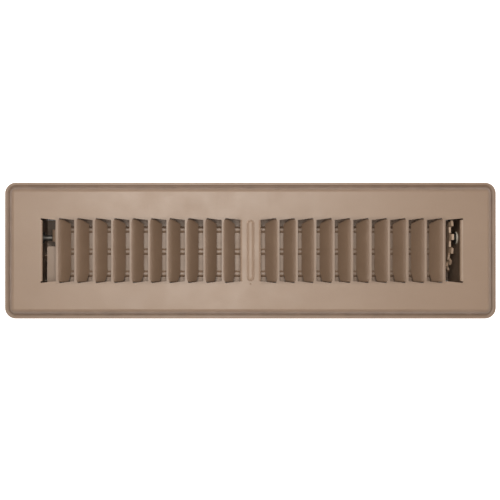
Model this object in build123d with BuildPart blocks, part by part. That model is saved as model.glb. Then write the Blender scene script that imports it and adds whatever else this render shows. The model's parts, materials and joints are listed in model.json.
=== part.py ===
from build123d import *

import os
from math import cos, radians, sin

# Stamped steel floor register for a 57 x 305 mm duct opening: a louvred face, a folded sheet-metal
# damper box hung under it, and one blade turned by a toothed thumb quadrant in the last slot.
# +X runs along the face, +Y across it and +Z out of the floor. The origin is the centre of the face
# on the plane of the rim's underside, which is the plane of the floor that the register lies on.

# Face sheet
FACE_LENGTH = 339.6
FACE_WIDTH = 94.1
FACE_CORNER_R = 7.5
FACE_TOP = 4.5
FACE_SHEET = 0.9
FACE_UNDER = FACE_TOP - FACE_SHEET
HEM_R = 0.95
RIM_WIDTH = 7.0
RIM_GROOVE_AT = 2.7
RIM_GROOVE_Z = 1.35
RIM_SHOULDER_AT = 4.7
RIM_SHOULDER_DROP = 0.85
RIM_SEAT_TO = 3.2

# Louvre field: slots on a half-inch pitch, counted outwards from the centre bar
SLOT_PITCH = 12.7
SLOT_WIDTH = 10.3
LEFT_END_SLOT_WIDTH = 9.3
SLOT_HALF_LENGTH = 22.3
SLOT_END_SLANT = 1.2
CORNER_EASE_X = 1.6
CORNER_EASE_Y = 5.5
CENTRE_BAR_HALF = 7.2
FINS_PER_SIDE = 10
FIN_ROOT_SETBACK = 1.4
FIN_HALF_LENGTH = 21.5
FIN_BEND_R = 1.3
FIN_DEVELOPED = 12.0
FIN_SLOPE = 49.5
BACK_CORNER_X = 4.6
BACK_CORNER_Y = 3.0
FRONT_CORNER_X = 1.5
FRONT_CORNER_Y = 6.5
LIP_SLOPE = 75.0
LIP_RUN = 0.4
LIP_BEND_R = 1.8
LEFT_LIP_BEND_R = 1.1

# Slope of the sides of pressed ribs and beads, from the upright
PRESSED_TAPER = 42.0

# Raised bead along the centre bar
CENTRE_BEAD_LENGTH = 42.5
CENTRE_BEAD_WIDTH = 5.4
CENTRE_BEAD_HEIGHT = 1.3
CENTRE_BEAD_CREST_R = 2.6
CENTRE_DIMPLE_R = 0.7
CENTRE_DIMPLE_Y = -22.9

# Damper box
BOX_SHEET = 0.7
BOX_BEND_R = 0.7
BOX_HALF_WIDTH = 25.3
BOX_HALF_LENGTH = 147.8
BOX_BOTTOM = -47.5
SIDE_FLANGE_TO = 33.0
END_FLANGE_TO = 156.0
END_FLANGE_HALF_WIDTH = 23.0
END_TAB_LENGTH = 10.0
END_TAB_TOP = 2.0
END_FOOT_LENGTH = 8.0
END_FOOT_HALF_WIDTH = 22.0
WALL_RIB_Z = -30.0
WALL_RIB_LENGTH = 262.0
WALL_RIB_WIDTH = 7.0
WALL_RIB_HEIGHT = 0.9
WALL_RIB_CREST_R = 0.6
SPOT_WELD_R = 2.0
SPOT_WELD_DEPTH = 0.25
SPOT_WELD_PITCH = 58.0

# Rivets at the corners of the box
RIVET_R = 1.2
RIVET_HEAD_R = 2.2
RIVET_HEAD = 0.7
RIVET_TAIL = 0.6
CORNER_RIVET_X = 142.6
CORNER_RIVET_HEIGHTS = (-10.0, -38.0)

# Damper: blade and quadrant turn together about an axis along X
PIVOT_Y = 9.0
QUADRANT_R = 25.5
PIVOT_Z = FACE_TOP - QUADRANT_R
DAMPER_OPEN = 62.0
BLADE_SHEET = 0.7
BLADE_TOP = PIVOT_Z + 6.5
BLADE_UNDER = BLADE_TOP - BLADE_SHEET
BLADE_LEFT = -143.0
BLADE_RIGHT = 134.0
BLADE_HALF_WIDTH = 22.5
BLADE_NOTCH_X = -137.3
BLADE_NOTCH_Y = 2.9
BLADE_CORNER_R = 1.0
BLADE_RIB_SPACING = 15.6
BLADE_RIB_OFFSET = -0.8
BLADE_RIB_LEFT = -133.0
BLADE_RIB_RIGHT = 129.0
BLADE_RIB_WIDTH = 4.6
BLADE_RIB_HEIGHT = 1.4
BLADE_RIB_CREST_R = 1.5

# Ears bent down from the blade's ends to the pivots
EAR_BEND_R = 2.0
EAR_BOTTOM = PIVOT_Z - 4.6
LEFT_EAR_FACE = -139.8
LEFT_EAR_Y = 10.6
LEFT_EAR_WIDTH = 8.6
RIGHT_EAR_FACE = 137.6
RIGHT_EAR_WIDTH = 17.0

# Toothed quadrant
QUADRANT_SHEET = 1.4
QUADRANT_FROM = -29.0
QUADRANT_TO = 92.0
QUADRANT_WEB_R = 22.0
QUADRANT_HUB_R = 9.0
TOOTH_COUNT = 11
FIRST_TOOTH = -22.9
TOOTH_PITCH = 11.05
TOOTH_WIDTH = 3.9
TOOTH_ROOT_R = 21.4
TOOTH_SET = 1.0
QUADRANT_RIVET_SPACING = 10.4
QUADRANT_RIVET_R = 1.4

# Pivots
PIN_R = 1.6
PIN_HEAD_R = 2.3
PIN_HEAD = 0.8
SHOULDER_R = 2.0
SHOULDER_END = 146.0
PIN_END = 150.2
BUSH_BORE_R = 1.65
BUSH_BODY_R = 2.6
BUSH_FLANGE_R = 4.4
BUSH_FLANGE = 0.8
BUSH_TAIL = 148.8
WASHER_BORE_R = 1.7
WASHER_R = 4.0
WASHER_GAP = 0.1
SPRING_WASHER_SHEET = 0.35
PUSH_NUT_R = 3.6
PUSH_NUT_FROM = 149.1
PUSH_NUT_TO = 149.6

# Stops
STOP_GAP = 0.4
CLOSED_STOP_X = 70.0
CLOSED_STOP_WIDTH = 12.0
CLOSED_STOP_REACH = 5.0
OPEN_STOP_NEAR = -17.0
OPEN_STOP_FAR = -22.0
OPEN_STOP_TO = -141.0

BOX_OUTER_WIDTH = BOX_HALF_WIDTH + BOX_SHEET
BOX_OUTER_LENGTH = BOX_HALF_LENGTH + BOX_SHEET
PIVOT = Vector(0, PIVOT_Y, PIVOT_Z)


def rolled_edge(root_x, heading, slope, bend_r, run):
    """Cross-section of the face sheet rolled down from root_x, then straight; heading is +1 or -1 along X."""
    under_r = bend_r - FACE_SHEET
    centre = (root_x, FACE_TOP - bend_r)
    along = Vector(heading * cos(radians(slope)), -sin(radians(slope))) * run
    with BuildSketch(Plane.XZ) as profile:
        with BuildLine():
            over = CenterArc(centre, bend_r, 90, -heading * slope)
            under = CenterArc(centre, under_r, 90, -heading * slope)
            over_run = Line(over @ 1, over @ 1 + along)
            under_run = Line(under @ 1, under @ 1 + along)
            Line(over @ 0, under @ 0)
            Line(over_run @ 1, under_run @ 1)
        make_face()
    return profile.sketch


def pressed_rib(surface, length, width, height, sheet, crest_r, rotation=0):
    """Outer and inner solids of a round-ended rib pressed out of a sheet whose outer surface is the plane."""
    outwards = Axis(surface.origin, surface.z_dir)
    with BuildPart() as outer:
        with BuildSketch(surface):
            SlotOverall(length, width, rotation=rotation)
        extrude(amount=height, taper=PRESSED_TAPER)
        fillet(outer.faces().sort_by(outwards)[-1].edges(), crest_r)
    with BuildPart() as inner:
        with BuildSketch(surface.offset(-sheet)):
            SlotOverall(length - sheet, width - sheet, rotation=rotation)
        extrude(amount=height, taper=PRESSED_TAPER)
    return outer.part, inner.part


def along_x(x, y, z):
    """Sketch plane square to X."""
    return Plane(origin=(x, y, z), x_dir=(0, 1, 0), z_dir=(1, 0, 0))


def turned(steps):
    """Solid of coaxial steps on the pivot axis, each step being (from x, to x, radius)."""
    with BuildPart() as piece:
        for start, end, radius in steps:
            with BuildSketch(along_x(start, PIVOT_Y, PIVOT_Z)):
                Circle(radius)
            extrude(amount=end - start)
    return piece.part


def slot_inner(index):
    """Distance from the centre of the face to the inner edge of a slot."""
    return CENTRE_BAR_HALF + index * SLOT_PITCH


def end_slot(side):
    """Bend radius of the lip on the outer edge of an end slot, and the distance from the centre to its root."""
    bend_r = LIP_BEND_R if side > 0 else LEFT_LIP_BEND_R
    width = SLOT_WIDTH if side > 0 else LEFT_END_SLOT_WIDTH
    return bend_r, slot_inner(FINS_PER_SIDE) + width + bend_r * LIP_SIN


def eased_corner(outer, end):
    """Points that round off the corner of a slot where its fin begins, from the fin's root to the slot's end."""
    return [
        (outer, end * (SLOT_HALF_LENGTH - CORNER_EASE_Y)),
        (outer - 0.22 * CORNER_EASE_X, end * (SLOT_HALF_LENGTH - 0.52 * CORNER_EASE_Y)),
        (outer - 0.55 * CORNER_EASE_X, end * (SLOT_HALF_LENGTH - 0.20 * CORNER_EASE_Y)),
        (outer - CORNER_EASE_X, end * SLOT_HALF_LENGTH),
    ]


LIP_SIN = sin(radians(LIP_SLOPE))
FIN_RUN = FIN_DEVELOPED - radians(FIN_SLOPE) * (FIN_BEND_R - FACE_SHEET / 2)
FIN_REACH = FIN_BEND_R * sin(radians(FIN_SLOPE)) + FIN_RUN * cos(radians(FIN_SLOPE))

os.makedirs("parts", exist_ok=True)

# ---- Face: rolled rim, flat field, and fins lanced and rolled down out of the same sheet ----
with BuildPart() as faceplate:
    with BuildLine():
        rim_path = FilletPolyline(
            (FACE_LENGTH / 2, 0),
            (FACE_LENGTH / 2, FACE_WIDTH / 2),
            (-FACE_LENGTH / 2, FACE_WIDTH / 2),
            (-FACE_LENGTH / 2, -FACE_WIDTH / 2),
            (FACE_LENGTH / 2, -FACE_WIDTH / 2),
            (FACE_LENGTH / 2, 0),
            radius=[0, FACE_CORNER_R, FACE_CORNER_R, FACE_CORNER_R, FACE_CORNER_R],
        )
    with BuildSketch(Plane(origin=(FACE_LENGTH / 2, 0, 0), x_dir=(-1, 0, 0), z_dir=(0, 1, 0))):
        with BuildLine():
            hem = CenterArc((HEM_R, HEM_R), HEM_R, 90, 180)
            rim_top = FilletPolyline(
                hem @ 0,
                (1.7 * HEM_R, 2 * HEM_R),
                (RIM_GROOVE_AT, RIM_GROOVE_Z),
                (RIM_SHOULDER_AT, FACE_TOP - RIM_SHOULDER_DROP),
                (RIM_WIDTH - 0.4, FACE_TOP),
                (RIM_WIDTH, FACE_TOP),
                radius=[0.8, 0.4, 1.5, 1.4],
            )
            rim_under = FilletPolyline(
                hem @ 1,
                (RIM_SEAT_TO, 0),
                (RIM_SHOULDER_AT + 0.5, FACE_UNDER - RIM_SHOULDER_DROP + 0.1),
                (RIM_WIDTH - 0.3, FACE_UNDER),
                (RIM_WIDTH, FACE_UNDER),
                radius=[0.4, 0.6, 0.5],
            )
            Line(rim_top @ 1, rim_under @ 1)
        make_face()
    sweep(path=rim_path)
    with BuildSketch(Plane.XY.offset(FACE_UNDER)):
        Rectangle(FACE_LENGTH - 2 * RIM_WIDTH, FACE_WIDTH - 2 * RIM_WIDTH)
        fillet(vertices(), FACE_CORNER_R - RIM_WIDTH)
    extrude(amount=FACE_SHEET)

    # Openings: one per fin, with eased corners beside its root, and a plain one at each end
    with BuildSketch(Plane.XY.offset(FACE_UNDER)):
        for index in range(FINS_PER_SIDE + 1):
            inner = slot_inner(index) - (LIP_BEND_R * LIP_SIN if index == 0 else 0)
            inner_half = SLOT_HALF_LENGTH - SLOT_END_SLANT
            for side in (1, -1):
                if index < FINS_PER_SIDE:
                    outer = slot_inner(index) + SLOT_WIDTH + FIN_ROOT_SETBACK
                    corners = eased_corner(outer, 1)[::-1] + eased_corner(outer, -1)
                else:
                    outer = end_slot(side)[1]
                    corners = [(outer, SLOT_HALF_LENGTH), (outer, -SLOT_HALF_LENGTH)]
                outline = [(inner, inner_half)] + corners + [(inner, -inner_half)]
                with BuildLine():
                    Polyline([(side * x, y) for x, y in outline], close=True)
                make_face()
    extrude(amount=FACE_SHEET, mode=Mode.SUBTRACT)

    # Fins, each running down towards the centre from the bar on its outer side
    for index in range(FINS_PER_SIDE):
        root = slot_inner(index) + SLOT_WIDTH + FIN_ROOT_SETBACK
        for side in (1, -1):
            extrude(rolled_edge(side * root, -side, FIN_SLOPE, FIN_BEND_R, FIN_RUN), FIN_HALF_LENGTH, both=True)

    # Rolled-down lips on the centre bar and on the outer edge of each end slot
    lip_half = SLOT_HALF_LENGTH - SLOT_END_SLANT
    for side in (1, -1):
        centre_edge = side * (CENTRE_BAR_HALF - LIP_BEND_R * LIP_SIN)
        end_bend_r, end_edge = end_slot(side)
        extrude(rolled_edge(centre_edge, side, LIP_SLOPE, LIP_BEND_R, LIP_RUN), lip_half, both=True)
        extrude(rolled_edge(side * end_edge, -side, LIP_SLOPE, end_bend_r, LIP_RUN), lip_half, both=True)

    # The free corners of each fin are cut off at a slant
    with BuildSketch(Plane.XY.offset(FACE_UNDER)):
        for index in range(FINS_PER_SIDE):
            free = slot_inner(index) + SLOT_WIDTH + FIN_ROOT_SETBACK - FIN_REACH
            for side in (1, -1):
                for end, cut_x, cut_y in (
                    (1, BACK_CORNER_X, BACK_CORNER_Y),
                    (-1, FRONT_CORNER_X, FRONT_CORNER_Y),
                ):
                    with BuildLine():
                        Polyline(
                            (side * (free - 0.1), end * (FIN_HALF_LENGTH - cut_y)),
                            (side * (free + cut_x), end * (FIN_HALF_LENGTH + 0.1)),
                            (side * (free - 0.1), end * (FIN_HALF_LENGTH + 0.1)),
                            close=True,
                        )
                    make_face()
    extrude(amount=-FIN_DEVELOPED, mode=Mode.SUBTRACT)

    # Bead pressed up along the centre bar, with a small punch mark at one end
    bead, bead_hollow = pressed_rib(
        Plane.XY.offset(FACE_TOP),
        CENTRE_BEAD_LENGTH,
        CENTRE_BEAD_WIDTH,
        CENTRE_BEAD_HEIGHT,
        FACE_SHEET,
        CENTRE_BEAD_CREST_R,
        rotation=90,
    )
    add(bead)
    add(bead_hollow, mode=Mode.SUBTRACT)
    with Locations((0, CENTRE_DIMPLE_Y, FACE_TOP + CENTRE_DIMPLE_R / 2)):
        Sphere(CENTRE_DIMPLE_R, mode=Mode.SUBTRACT)

# ---- Long walls of the box, flanged under the face, with lanced rests for the closed blade ----
side_walls = {}
for side, name in ((-1, "side_wall_front"), (1, "side_wall_back")):
    with BuildPart() as side_wall:
        with BuildSketch(Plane.YZ) as section:
            with BuildLine():
                FilletPolyline(
                    (side * SIDE_FLANGE_TO, FACE_UNDER),
                    (side * BOX_HALF_WIDTH, FACE_UNDER),
                    (side * BOX_HALF_WIDTH, BOX_BOTTOM),
                    (side * BOX_OUTER_WIDTH, BOX_BOTTOM),
                    (side * BOX_OUTER_WIDTH, FACE_UNDER - BOX_SHEET),
                    (side * SIDE_FLANGE_TO, FACE_UNDER - BOX_SHEET),
                    radius=[0, BOX_SHEET + BOX_BEND_R, 0, 0, BOX_BEND_R, 0],
                    close=True,
                )
            make_face()
        extrude(amount=BOX_OUTER_LENGTH, both=True)
        outer_face = Plane(origin=(0, side * BOX_OUTER_WIDTH, WALL_RIB_Z), x_dir=(1, 0, 0), z_dir=(0, side, 0))
        rib, rib_hollow = pressed_rib(
            outer_face, WALL_RIB_LENGTH, WALL_RIB_WIDTH, WALL_RIB_HEIGHT, BOX_SHEET, WALL_RIB_CREST_R
        )
        add(rib)
        add(rib_hollow, mode=Mode.SUBTRACT)
        if side > 0:
            for x in (-CLOSED_STOP_X, CLOSED_STOP_X):
                with BuildSketch(Plane.XY.offset(BLADE_UNDER - STOP_GAP - BOX_SHEET)):
                    with Locations((x, BOX_HALF_WIDTH - CLOSED_STOP_REACH / 2)):
                        Rectangle(CLOSED_STOP_WIDTH, CLOSED_STOP_REACH)
                extrude(amount=BOX_SHEET)
                with BuildSketch(Plane.XY.offset(BLADE_UNDER - STOP_GAP - BOX_SHEET)):
                    with Locations((x, BOX_HALF_WIDTH + BOX_SHEET / 2)):
                        Rectangle(CLOSED_STOP_WIDTH, BOX_SHEET)
                extrude(amount=-CLOSED_STOP_REACH, mode=Mode.SUBTRACT)
        with BuildSketch(Plane.XY.offset(FACE_UNDER - BOX_SHEET)):
            with Locations((0, side * (SIDE_FLANGE_TO - 2 * SPOT_WELD_R + 0.4))):
                with GridLocations(SPOT_WELD_PITCH, 1, 5, 1):
                    Circle(SPOT_WELD_R)
        extrude(amount=SPOT_WELD_DEPTH, mode=Mode.SUBTRACT)
        for x in (-CORNER_RIVET_X, CORNER_RIVET_X):
            for z in CORNER_RIVET_HEIGHTS:
                with BuildSketch(Plane(origin=(x, 0, z), x_dir=(1, 0, 0), z_dir=(0, side, 0))):
                    Circle(RIVET_R)
                extrude(amount=2 * BOX_OUTER_WIDTH, mode=Mode.SUBTRACT)
    side_walls[name] = side_wall.part

# ---- End walls: a panel with tabs folded along the long walls, a flange under the face and a turned-in foot ----
end_walls = {}
for side, name in ((-1, "end_wall_left"), (1, "end_wall_right")):
    with BuildPart() as end_wall:
        with BuildSketch(Plane.XY.offset(BOX_BOTTOM)):
            tab_end = side * (BOX_OUTER_LENGTH - END_TAB_LENGTH)
            with BuildLine():
                FilletPolyline(
                    (tab_end, BOX_HALF_WIDTH),
                    (side * BOX_OUTER_LENGTH, BOX_HALF_WIDTH),
                    (side * BOX_OUTER_LENGTH, -BOX_HALF_WIDTH),
                    (tab_end, -BOX_HALF_WIDTH),
                    (tab_end, -BOX_HALF_WIDTH + BOX_SHEET),
                    (side * BOX_HALF_LENGTH, -BOX_HALF_WIDTH + BOX_SHEET),
                    (side * BOX_HALF_LENGTH, BOX_HALF_WIDTH - BOX_SHEET),
                    (tab_end, BOX_HALF_WIDTH - BOX_SHEET),
                    radius=[0, BOX_SHEET + BOX_BEND_R, BOX_SHEET + BOX_BEND_R, 0, 0, BOX_BEND_R, BOX_BEND_R, 0],
                    close=True,
                )
            make_face()
        extrude(amount=END_TAB_TOP - BOX_BOTTOM)
        with BuildSketch(Plane.XY.offset(BOX_BOTTOM)):
            with Locations((side * (BOX_OUTER_LENGTH - END_FOOT_LENGTH / 2), 0)):
                Rectangle(END_FOOT_LENGTH, 2 * END_FOOT_HALF_WIDTH)
        extrude(amount=BOX_SHEET)
        with BuildSketch(Plane.XZ):
            with BuildLine():
                FilletPolyline(
                    (side * END_FLANGE_TO, FACE_UNDER),
                    (side * BOX_HALF_LENGTH, FACE_UNDER),
                    (side * BOX_HALF_LENGTH, 0),
                    (side * BOX_OUTER_LENGTH, 0),
                    (side * BOX_OUTER_LENGTH, FACE_UNDER - BOX_SHEET),
                    (side * END_FLANGE_TO, FACE_UNDER - BOX_SHEET),
                    radius=[0, BOX_SHEET + BOX_BEND_R, 0, 0, BOX_BEND_R, 0],
                    close=True,
                )
            make_face()
        extrude(amount=END_FLANGE_HALF_WIDTH, both=True)
        with BuildSketch(Plane.XY.offset(FACE_UNDER - BOX_SHEET)):
            with Locations((side * (END_FLANGE_TO - 2 * SPOT_WELD_R + 0.4), 0)):
                with GridLocations(1, 2 * PIVOT_Y, 1, 2):
                    Circle(SPOT_WELD_R)
        extrude(amount=SPOT_WELD_DEPTH, mode=Mode.SUBTRACT)
        with BuildSketch(along_x(side * BOX_HALF_LENGTH, PIVOT_Y, PIVOT_Z)):
            Circle(BUSH_BODY_R)
        extrude(amount=side * BOX_SHEET, mode=Mode.SUBTRACT)
        for z in CORNER_RIVET_HEIGHTS:
            with BuildSketch(Plane(origin=(side * CORNER_RIVET_X, 0, z), x_dir=(1, 0, 0), z_dir=(0, 1, 0))):
                Circle(RIVET_R)
            extrude(amount=BOX_OUTER_WIDTH, both=True, mode=Mode.SUBTRACT)
        if side < 0:
            # The open blade comes to rest on a tab turned in from the left panel, square to the blade
            open_turn = radians(DAMPER_OPEN)
            open_blade = Plane(origin=PIVOT, x_dir=(1, 0, 0), z_dir=(0, -sin(open_turn), cos(open_turn)))
            tab_centre_x = (OPEN_STOP_TO - BOX_HALF_LENGTH) / 2
            with BuildSketch(open_blade.offset(BLADE_UNDER - PIVOT_Z - STOP_GAP - BOX_SHEET)):
                with Locations((tab_centre_x, (OPEN_STOP_NEAR + OPEN_STOP_FAR) / 2)):
                    Rectangle(OPEN_STOP_TO + BOX_HALF_LENGTH, OPEN_STOP_NEAR - OPEN_STOP_FAR)
            extrude(amount=BOX_SHEET)
    end_walls[name] = end_wall.part

# ---- Eight rivets through the long walls and the tabs of the end walls ----
with BuildPart() as corner_rivets:
    for side in (1, -1):
        for x in (-CORNER_RIVET_X, CORNER_RIVET_X):
            for z in CORNER_RIVET_HEIGHTS:
                inside = BOX_HALF_WIDTH - BOX_SHEET
                with BuildSketch(Plane(origin=(x, side * inside, z), x_dir=(1, 0, 0), z_dir=(0, side, 0))):
                    Circle(RIVET_R)
                extrude(amount=2 * BOX_SHEET)
                with BuildSketch(Plane(origin=(x, side * inside, z), x_dir=(1, 0, 0), z_dir=(0, -side, 0))):
                    Circle(RIVET_HEAD_R * 0.9)
                extrude(amount=RIVET_TAIL, taper=20)
                head = Plane(origin=(x, side * BOX_OUTER_WIDTH, z), x_dir=(1, 0, 0), z_dir=(0, side, 0))
                with BuildSketch(head):
                    Circle(RIVET_HEAD_R)
                extrude(amount=RIVET_HEAD, taper=30)

# ---- Damper blade: ribbed sheet with an ear bent down at each end ----
with BuildPart() as damper_blade:
    with BuildSketch(Plane.XY.offset(BLADE_UNDER)):
        with BuildLine():
            FilletPolyline(
                (BLADE_LEFT, -BLADE_HALF_WIDTH),
                (BLADE_RIGHT, -BLADE_HALF_WIDTH),
                (BLADE_RIGHT, BLADE_HALF_WIDTH),
                (BLADE_NOTCH_X, BLADE_HALF_WIDTH),
                (BLADE_NOTCH_X, BLADE_NOTCH_Y),
                (BLADE_LEFT, BLADE_NOTCH_Y),
                radius=[BLADE_CORNER_R, BLADE_CORNER_R, BLADE_CORNER_R, BLADE_CORNER_R, 0.4, BLADE_CORNER_R],
                close=True,
            )
        make_face()
    extrude(amount=BLADE_SHEET)
    for side, ear_face, ear_y, width in (
        (-1, LEFT_EAR_FACE, LEFT_EAR_Y, LEFT_EAR_WIDTH),
        (1, RIGHT_EAR_FACE, PIVOT_Y, RIGHT_EAR_WIDTH),
    ):
        inner_face = ear_face - side * BLADE_SHEET
        plate_edge = BLADE_NOTCH_X if side < 0 else BLADE_RIGHT
        with BuildSketch(Plane.XZ.offset(-ear_y)):
            with BuildLine():
                FilletPolyline(
                    (plate_edge - side * 2, BLADE_TOP),
                    (ear_face, BLADE_TOP),
                    (ear_face, EAR_BOTTOM),
                    (inner_face, EAR_BOTTOM),
                    (inner_face, BLADE_UNDER),
                    (plate_edge - side * 2, BLADE_UNDER),
                    radius=[0, EAR_BEND_R + BLADE_SHEET, 0, 0, EAR_BEND_R, 0],
                    close=True,
                )
            make_face()
        extrude(amount=width / 2, both=True)
        with BuildSketch(along_x(inner_face, PIVOT_Y, PIVOT_Z)):
            Circle(PIN_R)
            if side > 0:
                with GridLocations(QUADRANT_RIVET_SPACING, 1, 2, 1):
                    Circle(QUADRANT_RIVET_R)
        extrude(amount=side * BLADE_SHEET, mode=Mode.SUBTRACT)
    for step in (-1, 0, 1):
        rib_y = BLADE_RIB_OFFSET + step * BLADE_RIB_SPACING
        rib_middle = ((BLADE_RIB_LEFT + BLADE_RIB_RIGHT) / 2, rib_y, BLADE_TOP)
        rib, rib_hollow = pressed_rib(
            Plane(origin=rib_middle),
            BLADE_RIB_RIGHT - BLADE_RIB_LEFT,
            BLADE_RIB_WIDTH,
            BLADE_RIB_HEIGHT,
            BLADE_SHEET,
            BLADE_RIB_CREST_R,
        )
        add(rib)
        add(rib_hollow, mode=Mode.SUBTRACT)

# ---- Thumb quadrant: a sheet sector whose teeth are set alternately to the left and right ----
with BuildPart() as thumb_quadrant:
    with BuildSketch(along_x(RIGHT_EAR_FACE, PIVOT_Y, PIVOT_Z)):
        with BuildLine():
            edge = CenterArc((0, 0), QUADRANT_WEB_R, 90 + QUADRANT_FROM, QUADRANT_TO - QUADRANT_FROM)
            Line((0, 0), edge @ 0)
            Line((0, 0), edge @ 1)
        make_face()
        Circle(QUADRANT_HUB_R)
        Circle(PIN_R, mode=Mode.SUBTRACT)
        with GridLocations(QUADRANT_RIVET_SPACING, 1, 2, 1):
            Circle(QUADRANT_RIVET_R, mode=Mode.SUBTRACT)
    extrude(amount=QUADRANT_SHEET)
    for tooth in range(TOOTH_COUNT):
        lean = radians(FIRST_TOOTH + tooth * TOOTH_PITCH)
        outwards = (0, -sin(lean), cos(lean))
        across = (0, cos(lean), sin(lean))
        tooth_plane = Plane(origin=(RIGHT_EAR_FACE, PIVOT_Y, PIVOT_Z), x_dir=outwards, z_dir=across)
        set_x = -TOOTH_SET if tooth % 2 else TOOTH_SET
        with BuildSketch(tooth_plane):
            with BuildLine():
                Polyline(
                    (TOOTH_ROOT_R, 0),
                    (QUADRANT_WEB_R, 0),
                    (QUADRANT_R, set_x),
                    (QUADRANT_R, set_x + QUADRANT_SHEET),
                    (QUADRANT_WEB_R, QUADRANT_SHEET),
                    (TOOTH_ROOT_R, QUADRANT_SHEET),
                    close=True,
                )
            make_face()
        extrude(amount=TOOTH_WIDTH / 2, both=True)

# ---- Two rivets from the ear to the quadrant ----
with BuildPart() as quadrant_rivets:
    for y in (PIVOT_Y - QUADRANT_RIVET_SPACING / 2, PIVOT_Y + QUADRANT_RIVET_SPACING / 2):
        ear_inner = RIGHT_EAR_FACE - BLADE_SHEET
        web_outer = RIGHT_EAR_FACE + QUADRANT_SHEET
        with BuildSketch(along_x(ear_inner, y, PIVOT_Z)):
            Circle(QUADRANT_RIVET_R)
        extrude(amount=web_outer - ear_inner)
        with BuildSketch(along_x(web_outer, y, PIVOT_Z)):
            Circle(RIVET_HEAD_R)
        extrude(amount=RIVET_HEAD, taper=30)
        with BuildSketch(Plane(origin=(ear_inner, y, PIVOT_Z), x_dir=(0, 1, 0), z_dir=(-1, 0, 0))):
            Circle(RIVET_HEAD_R * 0.9)
        extrude(amount=RIVET_TAIL, taper=20)

# ---- Shouldered pivot pins, riveted into the ears ----
left_ear_inner = LEFT_EAR_FACE + BLADE_SHEET
left_pivot_pin = turned(
    [
        (-PIN_END, left_ear_inner, PIN_R),
        (-SHOULDER_END, LEFT_EAR_FACE, SHOULDER_R),
        (left_ear_inner, left_ear_inner + PIN_HEAD, PIN_HEAD_R),
    ]
)
right_ear_inner = RIGHT_EAR_FACE - BLADE_SHEET
right_shoulder = RIGHT_EAR_FACE + QUADRANT_SHEET
right_pivot_pin = turned(
    [
        (right_ear_inner, PIN_END, PIN_R),
        (right_shoulder, SHOULDER_END, SHOULDER_R),
        (right_ear_inner - PIN_HEAD, right_ear_inner, PIN_HEAD_R),
    ]
)

# ---- Flanged bushes snapped into the end walls ----
bushes = {}
for side, name in ((-1, "left_pivot_bush"), (1, "right_pivot_bush")):
    with BuildPart() as bush:
        with BuildSketch(along_x(side * BOX_HALF_LENGTH, PIVOT_Y, PIVOT_Z)):
            Circle(BUSH_FLANGE_R)
        extrude(amount=-side * BUSH_FLANGE)
        with BuildSketch(along_x(side * BOX_HALF_LENGTH, PIVOT_Y, PIVOT_Z)):
            Circle(BUSH_BODY_R)
        extrude(amount=side * (BUSH_TAIL - BOX_HALF_LENGTH))
        with BuildSketch(along_x(side * BOX_HALF_LENGTH, PIVOT_Y, PIVOT_Z)):
            Circle(BUSH_BORE_R)
        extrude(amount=BUSH_TAIL - BOX_HALF_LENGTH, both=True, mode=Mode.SUBTRACT)
    bushes[name] = bush.part

# ---- Plain thrust washer on the left, dished friction spring on the right ----
bush_face = BOX_HALF_LENGTH - BUSH_FLANGE
with BuildPart() as thrust_washer:
    with BuildSketch(along_x(-SHOULDER_END, PIVOT_Y, PIVOT_Z)):
        Circle(WASHER_R)
        Circle(WASHER_BORE_R, mode=Mode.SUBTRACT)
    extrude(amount=-(bush_face - WASHER_GAP - SHOULDER_END))
with BuildPart() as friction_spring:
    with BuildSketch(Plane.XY.offset(PIVOT_Z)):
        with BuildLine():
            Polyline(
                (SHOULDER_END, PIVOT_Y + WASHER_BORE_R),
                (SHOULDER_END + SPRING_WASHER_SHEET, PIVOT_Y + WASHER_BORE_R),
                (bush_face - WASHER_GAP, PIVOT_Y + WASHER_R),
                (bush_face - WASHER_GAP - SPRING_WASHER_SHEET, PIVOT_Y + WASHER_R),
                close=True,
            )
        make_face()
    revolve(axis=Axis(PIVOT, (1, 0, 0)))

# ---- Push-on nuts that keep the pins in the bushes ----
with BuildPart() as push_nuts:
    for side in (1, -1):
        with BuildSketch(along_x(side * PUSH_NUT_FROM, PIVOT_Y, PIVOT_Z)):
            Circle(PUSH_NUT_R)
            Circle(PIN_R, mode=Mode.SUBTRACT)
        extrude(amount=side * (PUSH_NUT_TO - PUSH_NUT_FROM))

pieces = {
    "faceplate": faceplate.part,
    **side_walls,
    **end_walls,
    "corner_rivets": corner_rivets.part,
    **bushes,
    "damper_blade": damper_blade.part,
    "thumb_quadrant": thumb_quadrant.part,
    "quadrant_rivets": quadrant_rivets.part,
    "left_pivot_pin": left_pivot_pin,
    "right_pivot_pin": right_pivot_pin,
    "thrust_washer": thrust_washer.part,
    "friction_spring": friction_spring.part,
    "push_nuts": push_nuts.part,
}
for label, piece in pieces.items():
    piece.label = label
    export_step(piece, f"parts/{label}.step")
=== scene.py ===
import json

import bpy
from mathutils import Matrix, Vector


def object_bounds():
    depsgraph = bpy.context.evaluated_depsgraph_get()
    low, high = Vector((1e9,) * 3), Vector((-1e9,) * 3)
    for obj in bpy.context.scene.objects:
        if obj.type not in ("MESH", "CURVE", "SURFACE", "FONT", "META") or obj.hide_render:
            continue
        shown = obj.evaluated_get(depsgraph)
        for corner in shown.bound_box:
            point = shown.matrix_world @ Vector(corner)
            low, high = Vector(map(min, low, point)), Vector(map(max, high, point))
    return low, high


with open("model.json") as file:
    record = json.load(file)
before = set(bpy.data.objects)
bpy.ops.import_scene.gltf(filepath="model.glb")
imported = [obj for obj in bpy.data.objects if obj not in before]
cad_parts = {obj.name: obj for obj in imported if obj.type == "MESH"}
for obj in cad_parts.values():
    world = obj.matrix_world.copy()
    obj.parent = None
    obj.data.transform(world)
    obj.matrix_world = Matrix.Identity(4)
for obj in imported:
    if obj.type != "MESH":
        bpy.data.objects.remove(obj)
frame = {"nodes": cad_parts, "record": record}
cad_low, cad_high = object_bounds()

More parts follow.
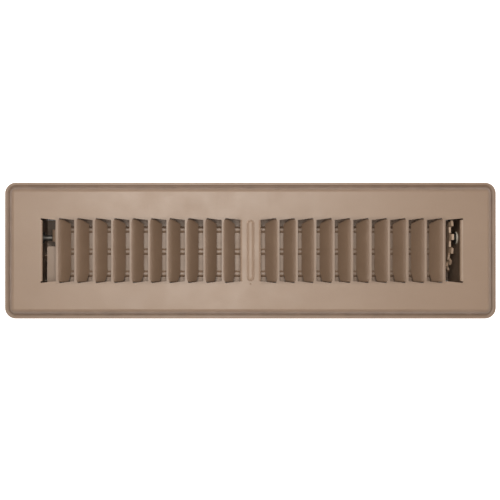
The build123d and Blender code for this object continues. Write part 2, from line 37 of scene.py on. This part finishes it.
# Colour of the lights, and linear base colours of the paints and metals
WARM = (1.0, 0.965, 0.905)
TAUPE = (0.294, 0.194, 0.130)
TAUPE_LIGHT = (0.312, 0.208, 0.142)
TAUPE_DARK = (0.240, 0.153, 0.098)
# A lighter copy of the taupe enamel for the thumb quadrant: painted light standing in for the direct light on
# its teeth
QUADRANT_LIGHT = (0.440, 0.310, 0.216)
QUADRANT = (0.400, 0.276, 0.190)
QUADRANT_DARK = (0.250, 0.165, 0.108)
# Dark brown mixed into the face paint as painted shade
PAINTED_SHADE_BROWN = (0.055, 0.022, 0.008)
ZINC = (0.20, 0.19, 0.175)
ZINC_DULL = (0.11, 0.104, 0.095)
NYLON = (0.66, 0.62, 0.53)
NYLON_DARK = (0.50, 0.45, 0.37)

# Painted shade on the face, in metres: darker paint in the groove of the rim, and on the strips between the
# louvres, where shade falls
FACE_HALF_LENGTH = cad_high.x
FACE_HALF_WIDTH = cad_high.y
FACE_CORNER = 0.0075
GROOVE_INSET = 0.0034
GROOVE_PAINTED_SHADE = 0.50
GROOVE_CORE = 0.0006
GROOVE_REACH = 0.0034
LOUVRE_PAINTED_SHADE = 0.22
LOUVRE_SIDE_FADE = (0.0222, 0.0236)
LOUVRE_END_FADE = (0.1338, 0.1350)
CENTRE_BAR_FADE = (0.0062, 0.0085)

# The floor, its upturned edge, and the patch around the register that gives off no light
FLOOR_HALF = 3.0
FLOOR_RISE = 1.0
FLOOR_GAP = 0.0002
FLOOR_GLOW = 0.9
UNLIT_LENGTH_FADE = (0.150, 0.168)
UNLIT_WIDTH_FADE = (0.027, 0.046)

# The camera stands this far above the face
FACE_TOP = 0.0045
CAMERA_HEIGHT = 0.700


class Nodes:
    """Short-hand for building one node material."""

    def __init__(self, name):
        self.material = bpy.data.materials.new(name)
        self.material.use_nodes = True
        self.tree = self.material.node_tree
        self.shader = self.tree.nodes["Principled BSDF"]
        self.coordinates = self.add("ShaderNodeTexCoord").outputs["Object"]

    def add(self, kind, **values):
        node = self.tree.nodes.new(kind)
        for key, value in values.items():
            setattr(node, key, value)
        return node

    def link(self, output, socket):
        self.tree.links.new(output, socket)

    def noise(self, scale, detail=4.0, roughness=0.55, stretch=None):
        node = self.add("ShaderNodeTexNoise")
        node.inputs["Scale"].default_value = scale
        node.inputs["Detail"].default_value = detail
        node.inputs["Roughness"].default_value = roughness
        source = self.coordinates
        if stretch:
            mapping = self.add("ShaderNodeMapping")
            mapping.inputs["Scale"].default_value = stretch
            self.link(source, mapping.inputs["Vector"])
            source = mapping.outputs["Vector"]
        self.link(source, node.inputs["Vector"])
        return node.outputs["Fac"]

    def ramp(self, source, stops):
        node = self.add("ShaderNodeValToRGB")
        elements = node.color_ramp.elements
        for element, (position, colour) in zip(elements, stops):
            element.position = position
            element.color = (*colour, 1.0)
        self.link(source, node.inputs["Fac"])
        return node.outputs["Color"]

    def spread(self, source, low, high, from_low=0.3, from_high=0.7):
        node = self.add("ShaderNodeMapRange")
        node.inputs["From Min"].default_value = from_low
        node.inputs["From Max"].default_value = from_high
        node.inputs["To Min"].default_value = low
        node.inputs["To Max"].default_value = high
        self.link(source, node.inputs["Value"])
        return node.outputs["Result"]

    def mix(self, factor, first, second, blend_type="MIX"):
        node = self.add("ShaderNodeMix", data_type="RGBA", blend_type=blend_type)
        sockets = (node.inputs[0], node.inputs[6], node.inputs[7])
        for socket, value in zip(sockets, (factor, first, second)):
            if isinstance(value, bpy.types.NodeSocket):
                self.link(value, socket)
            elif isinstance(value, tuple):
                socket.default_value = (*value, 1.0)
            else:
                socket.default_value = value
        return node.outputs[2]

    def maths(self, operation, first, second=0.0):
        node = self.add("ShaderNodeMath", operation=operation)
        for socket, value in zip(node.inputs, (first, second)):
            if isinstance(value, bpy.types.NodeSocket):
                self.link(value, socket)
            else:
                socket.default_value = value
        return node.outputs[0]

    def bump(self, source, strength, distance, normal=None):
        node = self.add("ShaderNodeBump")
        node.inputs["Strength"].default_value = strength
        node.inputs["Distance"].default_value = distance
        self.link(source, node.inputs["Height"])
        if normal:
            self.link(normal, node.inputs["Normal"])
        return node.outputs["Normal"]


def rim_groove_and_louvre_painted_shade(n):
    """Painted shade on the face paint: darker in the groove of the rounded rim, and on the strips between the
    louvres, standing in for the shade that falls there.
    """
    place = n.add("ShaderNodeSeparateXYZ")
    n.link(n.coordinates, place.inputs["Vector"])
    from_middle_x = n.maths("ABSOLUTE", place.outputs["X"])
    from_middle_y = n.maths("ABSOLUTE", place.outputs["Y"])
    past_x = n.maths("MAXIMUM", n.maths("SUBTRACT", from_middle_x, FACE_HALF_LENGTH - FACE_CORNER))
    past_y = n.maths("MAXIMUM", n.maths("SUBTRACT", from_middle_y, FACE_HALF_WIDTH - FACE_CORNER))
    squares = n.maths("ADD", n.maths("MULTIPLY", past_x, past_x), n.maths("MULTIPLY", past_y, past_y))
    reach = n.maths("SQRT", squares)
    off_groove = n.maths("ABSOLUTE", n.maths("SUBTRACT", reach, FACE_CORNER - GROOVE_INSET))
    groove = n.spread(off_groove, GROOVE_PAINTED_SHADE, 0.0, GROOVE_CORE, GROOVE_REACH)
    field = n.spread(from_middle_y, LOUVRE_PAINTED_SHADE, 0.0, *LOUVRE_SIDE_FADE)
    field = n.maths("MULTIPLY", field, n.spread(from_middle_x, 1.0, 0.0, *LOUVRE_END_FADE))
    field = n.maths("MULTIPLY", field, n.spread(from_middle_x, 0.0, 1.0, *CENTRE_BAR_FADE))
    patchy = n.spread(n.noise(110.0, 3.0), 0.8, 1.2)
    return n.maths("MULTIPLY", n.maths("MAXIMUM", groove, field), patchy)


def enamel(name, light, mid, dark, roughness, painted_shade=None):
    """Satin baked enamel on sheet steel: faint cloudy tone, streaks, nibs, orange peel and uneven sheen."""
    n = Nodes(name)
    tone = n.ramp(n.noise(9.0, 3.0), [(0.30, mid), (0.70, light)])
    streak = n.spread(n.noise(40.0, 5.0, 0.6, (0.35, 1.0, 1.0)), 0.0, 0.35)
    colour = n.mix(streak, tone, dark)
    nib = n.add("ShaderNodeTexVoronoi")
    nib.inputs["Scale"].default_value = 220.0
    n.link(n.coordinates, nib.inputs["Vector"])
    nibs = n.spread(nib.outputs["Distance"], 1.0, 0.0, 0.03, 0.09)
    colour = n.mix(nibs, colour, light)
    # Painted shade: the paint is darkened towards dark brown where the shade mask is high
    if painted_shade:
        colour = n.mix(painted_shade(n), colour, PAINTED_SHADE_BROWN)
    n.link(colour, n.shader.inputs["Base Color"])
    n.link(n.spread(n.noise(60.0, 4.0), roughness - 0.05, roughness + 0.06), n.shader.inputs["Roughness"])
    n.shader.inputs["Specular IOR Level"].default_value = 0.8
    n.shader.inputs["Coat Weight"].default_value = 0.25
    n.shader.inputs["Coat Roughness"].default_value = 0.52
    peel = n.bump(n.noise(900.0, 2.0), 0.10, 0.0004)
    n.link(n.bump(n.noise(130.0, 2.0), 0.12, 0.0006, peel), n.shader.inputs["Normal"])
    return n.material


def zinc_plate(name):
    """Dull zinc plating: brushed streaks and a patchy grey bloom."""
    n = Nodes(name)
    bloom = n.ramp(n.noise(180.0, 6.0, 0.7), [(0.35, ZINC_DULL), (0.65, ZINC)])
    n.link(bloom, n.shader.inputs["Base Color"])
    n.link(n.spread(n.noise(400.0, 4.0), 0.48, 0.66), n.shader.inputs["Roughness"])
    n.shader.inputs["Metallic"].default_value = 1.0
    n.link(n.bump(n.noise(1400.0, 3.0, 0.5, (0.2, 1.0, 1.0)), 0.2, 0.0002), n.shader.inputs["Normal"])
    return n.material


def moulded_nylon(name):
    """Natural nylon: slightly uneven colour and a matt moulded skin."""
    n = Nodes(name)
    n.link(n.ramp(n.noise(150.0, 4.0), [(0.3, NYLON_DARK), (0.7, NYLON)]), n.shader.inputs["Base Color"])
    n.link(n.spread(n.noise(500.0), 0.45, 0.6), n.shader.inputs["Roughness"])
    n.link(n.bump(n.noise(1200.0), 0.15, 0.0002), n.shader.inputs["Normal"])
    return n.material


materials = {
    # The face paint carries painted shade in the rim groove and between the louvres
    "face_paint": enamel("face_paint", TAUPE_LIGHT, TAUPE, TAUPE_DARK, 0.48, rim_groove_and_louvre_painted_shade),
    "box_paint": enamel("box_paint", TAUPE_LIGHT, TAUPE, TAUPE_DARK, 0.48),
    "quadrant_paint_with_painted_light": enamel("quadrant_paint_with_painted_light", QUADRANT_LIGHT, QUADRANT, QUADRANT_DARK, 0.40),
    "zinc": zinc_plate("zinc"),
    "nylon": moulded_nylon("nylon"),
}

slots = {part["node"]: part["material_slot"] for part in frame["record"]["subparts"]}
for name, node in frame["nodes"].items():
    node.data.materials.clear()
    # The thumb quadrant gets the lighter copy of the enamel, painted light on its teeth
    node.data.materials.append(materials["quadrant_paint_with_painted_light" if name == "thumb_quadrant" else slots[name]])

# Floor, turned up at its far edges so that low views have a plain background
corners = [(x * FLOOR_HALF, y * FLOOR_HALF) for x, y in ((-1, -1), (1, -1), (1, 1), (-1, 1))]
floor_mesh = bpy.data.meshes.new("floor")
floor_mesh.from_pydata(
    [(x, y, z) for z in (0.0, FLOOR_RISE) for x, y in corners],
    [],
    [(0, 1, 2, 3)] + [(a, a + 4, (a + 1) % 4 + 4, (a + 1) % 4) for a in range(4)],
)
floor = bpy.data.objects.new("floor", floor_mesh)
bpy.context.collection.objects.link(floor)
floor.location = (0, 0, cad_low.z - FLOOR_GAP)
pale = Nodes("floor_paper")
pale.link(
    pale.ramp(pale.noise(3.0, 2.0), [(0.3, (0.88, 0.88, 0.88)), (0.7, (0.90, 0.90, 0.90))]),
    pale.shader.inputs["Base Color"],
)
pale.shader.inputs["Roughness"].default_value = 0.9
pale.shader.inputs["Emission Color"].default_value = (1.0, 1.0, 1.0, 1.0)
place = pale.add("ShaderNodeSeparateXYZ")
pale.link(pale.coordinates, place.inputs["Vector"])
beyond_x = pale.spread(pale.maths("ABSOLUTE", place.outputs["X"]), 0.0, 1.0, *UNLIT_LENGTH_FADE)
beyond_y = pale.spread(pale.maths("ABSOLUTE", place.outputs["Y"]), 0.0, 1.0, *UNLIT_WIDTH_FADE)
glow = pale.spread(pale.maths("MAXIMUM", beyond_x, beyond_y), 0.0, FLOOR_GLOW, 0.0, 1.0)
pale.link(glow, pale.shader.inputs["Emission Strength"])
floor.data.materials.append(pale.material)


def area_light(name, place, width, height, power):
    """A warm rectangular light that faces the middle of the register."""
    data = bpy.data.lights.new(name, "AREA")
    data.shape = "RECTANGLE"
    data.size = width
    data.size_y = height
    data.energy = power
    data.color = WARM
    light = bpy.data.objects.new(name, data)
    bpy.context.collection.objects.link(light)
    light.location = place
    light.rotation_euler = (-Vector(place)).to_track_quat("-Z", "Y").to_euler()


area_light("key", (-0.03, 0.25, 0.70), 0.10, 0.08, 2.0)
area_light("overhead", (-0.05, 0.0, 0.75), 0.40, 0.24, 2.25)

world = bpy.data.worlds.new("studio")
world.use_nodes = True
world.node_tree.nodes["Background"].inputs["Color"].default_value = (*WARM, 1.0)
world.node_tree.nodes["Background"].inputs["Strength"].default_value = 0.26
bpy.context.scene.world = world
bpy.context.scene.view_settings.view_transform = "Standard"

# Camera straight above the face and a little left of its middle
camera_data = bpy.data.cameras.new("camera")
camera_data.sensor_width = 36.0
camera_data.lens = 73.2
camera_data.shift_x = 0.0859
camera = bpy.data.objects.new("camera", camera_data)
bpy.context.collection.objects.link(camera)
camera.location = (-0.030, 0.0004, FACE_TOP + CAMERA_HEIGHT)
camera.rotation_euler = (0, 0, 0)
camera_data.clip_start = 0.01
camera_data.clip_end = 20.0
bpy.context.scene.camera = camera
